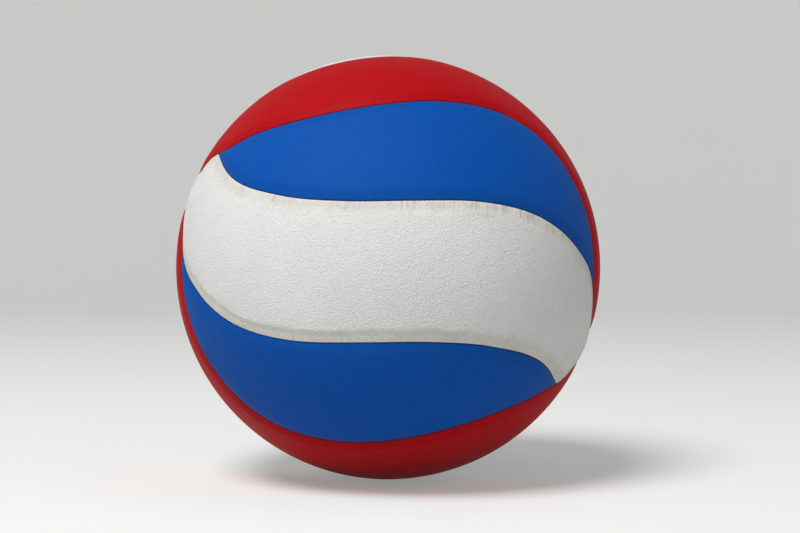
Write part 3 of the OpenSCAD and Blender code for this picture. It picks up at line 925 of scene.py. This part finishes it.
def bore(piece, name, hole_radius, ball_radius):
    """Cuts a round hole for the valve through a skin or a foam sheet at the back."""
    mesh = bpy.data.meshes.new(name)
    shape = bmesh.new()
    bmesh.ops.create_cone(
        shape, cap_ends=True, segments=BORE_SIDES, radius1=hole_radius, radius2=hole_radius,
        depth=BORE_LENGTH,
        matrix=Matrix.Translation((0, ball_radius, 0)) @ Matrix.Rotation(math.pi / 2, 4, "X"))
    shape.to_mesh(mesh)
    shape.free()
    cutter = bpy.data.objects.new(name, mesh)
    bpy.context.scene.collection.objects.link(cutter)
    cut = piece.modifiers.new(name, "BOOLEAN")
    cut.operation = "DIFFERENCE"
    cut.solver = "EXACT"
    cut.object = cutter
    bake_modifiers(piece)
    bpy.data.objects.remove(cutter)
    bpy.data.meshes.remove(mesh)


# ---------------------------------------------------------------- operators

class BALL_OT_long_panels(bpy.types.Operator):
    """Make the five long panels that run from pole to pole"""

    bl_idname = "volleyball.long_panels"
    bl_label = "Long Panels"

    def execute(self, context):
        make_covers(context.scene, False)
        return {"FINISHED"}


class BALL_OT_leaves(bpy.types.Operator):
    """Make the five closed leaves between the long panels"""

    bl_idname = "volleyball.leaves"
    bl_label = "Leaves"

    def execute(self, context):
        make_covers(context.scene, True)
        return {"FINISHED"}


class BALL_OT_foam_backing(bpy.types.Operator):
    """Make the foam sheet bonded under each cover panel"""

    bl_idname = "volleyball.foam_backing"
    bl_label = "Foam Backing"

    def execute(self, context):
        sizes = context.scene.ball_sizes
        material = cell_foam("eva_backing_foam", context.scene.ball_colours.foam)
        outside = sizes.ball_radius - sizes.cover_thickness
        inside = outside - sizes.foam_thickness
        inset = sizes.seam_gap / 2 / sizes.ball_radius
        for node, is_leaf, longitude, *shifts, _finish in COVERS:
            rows, columns = LEAF_FOAM_GRID if is_leaf else PANEL_FOAM_GRID
            grid = panel_grid(
                is_leaf, shifts, inset, sizes.tip_width, sizes.ball_radius,
                rows, columns, 0.0).reshape(-1, 3)
            shape = on_ball(np.concatenate([grid * outside, grid * inside]), longitude)
            piece = mesh_object(f"sheet_foam_{node}", shape, sheet_faces(rows, columns, columns))
            if node == VALVE_LEAF:
                bore(piece, "neck_hole", sizes.neck_radius, sizes.ball_radius)
            piece.data.materials.clear()
            piece.data.materials.append(material)
            smooth(piece.data, angle=40)
            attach(piece, "root")
            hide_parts("foam_" + node.replace("panel_", ""))
        return {"FINISHED"}


class BALL_OT_thread_winding(bpy.types.Operator):
    """Lay the turns of nylon thread over their latex film"""

    bl_idname = "volleyball.thread_winding"
    bl_label = "Thread Winding"

    def execute(self, context):
        sizes, colours = context.scene.ball_sizes, context.scene.ball_colours
        outside = sizes.ball_radius - sizes.cover_thickness - sizes.foam_thickness
        inside = outside - sizes.winding_thickness
        film = bored_shell_mesh(
            "latex_film", inside + sizes.winding_thickness / 2, inside, sizes.neck_radius)
        film.data.materials.append(rubber_of("latex_film", colours))
        winding = mesh_object("thread_winding", np.zeros((0, 3)), [])
        lay = outside - sizes.thread_radius
        apply_tree(winding, winding_tree(), {
            "Turns": sizes.thread_turns, "Winding Radius": lay,
            "Layer Spread": (sizes.winding_thickness / 2 - sizes.thread_radius) / lay,
            "Thread Radius": sizes.thread_radius,
            "Neck Share": (sizes.neck_radius + 2 * sizes.thread_radius) / inside,
            "Seed": sizes.winding_seed, "Material": twisted_nylon("nylon_thread", colours.thread),
        })
        for piece in (film, winding):
            smooth(piece.data, angle=60)
            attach(piece, "root")
        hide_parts("nylon_winding")
        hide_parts("nylon_winding")
        return {"FINISHED"}


class BALL_OT_carcass_and_bladder(bpy.types.Operator):
    """Finish the carcass, the bladder and its balance patch"""

    bl_idname = "volleyball.carcass_and_bladder"
    bl_label = "Carcass and Bladder"

    def execute(self, context):
        for node in ("rubber_carcass", "bladder", "balance_patch"):
            dress(node, rubber_of(node, context.scene.ball_colours))
        return {"FINISHED"}


class BALL_OT_needle_valve(bpy.types.Operator):
    """Finish the needle valve's seat and plug"""

    bl_idname = "volleyball.needle_valve"
    bl_label = "Needle Valve"

    def execute(self, context):
        for node in ("valve_seat", "valve_plug"):
            dress(node, rubber_of(node, context.scene.ball_colours))
        return {"FINISHED"}


def aim(thing, target):
    """Turns a lamp or camera to look at a point."""
    thing.rotation_euler = (Vector(target) - thing.location).to_track_quat("-Z", "Y").to_euler()


class BALL_OT_stage(bpy.types.Operator):
    """Set up the floor, the lamps and the camera"""

    bl_idname = "volleyball.stage"
    bl_label = "Stage"

    def execute(self, context):
        scene = context.scene
        stage, radius = scene.ball_stage, scene.ball_sizes.ball_radius

        # A round floor that sweeps up into a wall, so the background is the same from all sides.
        level, sweep, rounds = 2.0, 1.2, 160
        profile = [(0.0, 0.0), (0.25, 0.0), (1.0, 0.0), (level, 0.0)]
        profile += [
            (level + sweep * math.sin(a), sweep - sweep * math.cos(a))
            for a in np.linspace(0.05, math.pi / 2, 24)
        ]
        profile += [(level + sweep, 2.2), (level + sweep, 3.2)]
        points, faces = [(0.0, 0.0, -radius)], []
        for r, z in profile[1:]:
            points += [
                (r * math.cos(t), r * math.sin(t), z - radius)
                for t in np.linspace(0, 2 * math.pi, rounds, endpoint=False)
            ]
        for i in range(rounds):
            j = (i + 1) % rounds
            faces.append((0, 1 + i, 1 + j))
            for k in range(len(profile) - 2):
                a, b = 1 + k * rounds, 1 + (k + 1) * rounds
                faces.append((a + i, b + i, b + j, a + j))
        floor = mesh_object("studio_floor", np.array(points), faces)
        floor.data.shade_smooth()
        material, tree, surface = new_material("studio_paper")
        surface.inputs["Base Color"].default_value = rgba(stage.floor)
        surface.inputs["Roughness"].default_value = 0.85
        surface.inputs["Specular IOR Level"].default_value = 0.15
        # The paper looks a little lighter to the camera and in reflections, and lights nothing.
        rays = add_node(tree, "ShaderNodeLightPath").outputs
        seen = add_node(
            tree, "ShaderNodeMath", {0: rays["Is Camera Ray"], 1: rays["Is Glossy Ray"]},
            operation="MAXIMUM").outputs[0]
        seen = add_node(
            tree, "ShaderNodeMath", {0: seen, 1: rays["Is Transmission Ray"]},
            operation="MAXIMUM").outputs[0]
        glow = add_node(
            tree, "ShaderNodeMath", {0: seen, 1: stage.paper_glow}, operation="MULTIPLY").outputs[0]
        surface.inputs["Emission Color"].default_value = rgba(stage.floor)
        tree.links.new(glow, surface.inputs["Emission Strength"])
        floor.data.materials.append(material)

        for name, power, size, place in (
            ("key_softbox", stage.key_power, 1.1, (-0.75, -1.2, 2.0)),
            ("fill_softbox", stage.fill_power, 1.6, (1.9, -1.0, 0.9)),
        ):
            lamp = bpy.data.lights.new(name, "AREA")
            lamp.energy = power
            lamp.shape = "DISK"
            lamp.size = size
            holder = bpy.data.objects.new(name, lamp)
            holder.location = place
            aim(holder, (0, 0, 0))
            scene.collection.objects.link(holder)

        world = bpy.data.worlds.new("studio_light")
        world.use_nodes = True
        sky = world.node_tree.nodes["Background"].inputs
        sky["Color"].default_value = (1, 1, 1, 1)
        sky["Strength"].default_value = stage.world_strength
        scene.world = world

        lens = bpy.data.cameras.new("camera")
        lens.lens = stage.focal_length
        lens.sensor_fit = "HORIZONTAL"
        lens.sensor_width = SENSOR_WIDTH
        lens.shift_x = stage.shift_x
        lens.shift_y = stage.shift_y
        camera = bpy.data.objects.new("camera", lens)
        flat = stage.camera_distance * math.cos(stage.camera_elevation)
        camera.location = (
            flat * math.sin(stage.camera_azimuth), -flat * math.cos(stage.camera_azimuth),
            stage.camera_distance * math.sin(stage.camera_elevation))
        aim(camera, (0, 0, 0))
        scene.collection.objects.link(camera)
        scene.camera = camera
        scene.view_settings.view_transform = "Standard"
        return {"FINISHED"}


class BALL_PT_sidebar(bpy.types.Panel):
    """Lists the steps that build the ball"""

    bl_idname = "BALL_PT_sidebar"
    bl_label = "Volleyball"
    bl_space_type = "VIEW_3D"
    bl_region_type = "UI"
    bl_category = "Volleyball"

    def draw(self, context):
        for step in STEPS:
            self.layout.operator(step.bl_idname)
        for group in (context.scene.ball_sizes, context.scene.ball_colours, context.scene.ball_stage):
            box = self.layout.box()
            for key in group.__annotations__:
                box.prop(group, key)


GROUPS = (BallSizes, BallColours, StageSettings)
STEPS = (
    BALL_OT_long_panels, BALL_OT_leaves, BALL_OT_foam_backing, BALL_OT_thread_winding,
    BALL_OT_carcass_and_bladder, BALL_OT_needle_valve, BALL_OT_stage,
)
CLASSES = (*GROUPS, *STEPS, BALL_PT_sidebar)


def register():
    for item in CLASSES:
        bpy.utils.register_class(item)
    bpy.types.Scene.ball_sizes = PointerProperty(type=BallSizes)
    bpy.types.Scene.ball_colours = PointerProperty(type=BallColours)
    bpy.types.Scene.ball_stage = PointerProperty(type=StageSettings)


def unregister():
    del bpy.types.Scene.ball_stage
    del bpy.types.Scene.ball_colours
    del bpy.types.Scene.ball_sizes
    for item in reversed(CLASSES):
        bpy.utils.unregister_class(item)


def main():
    register()
    bpy.ops.volleyball.long_panels()
    bpy.ops.volleyball.leaves()
    bpy.ops.volleyball.foam_backing()
    bpy.ops.volleyball.thread_winding()
    bpy.ops.volleyball.carcass_and_bladder()
    bpy.ops.volleyball.needle_valve()
    bpy.ops.volleyball.stage()


if __name__ == "__main__":
    main()
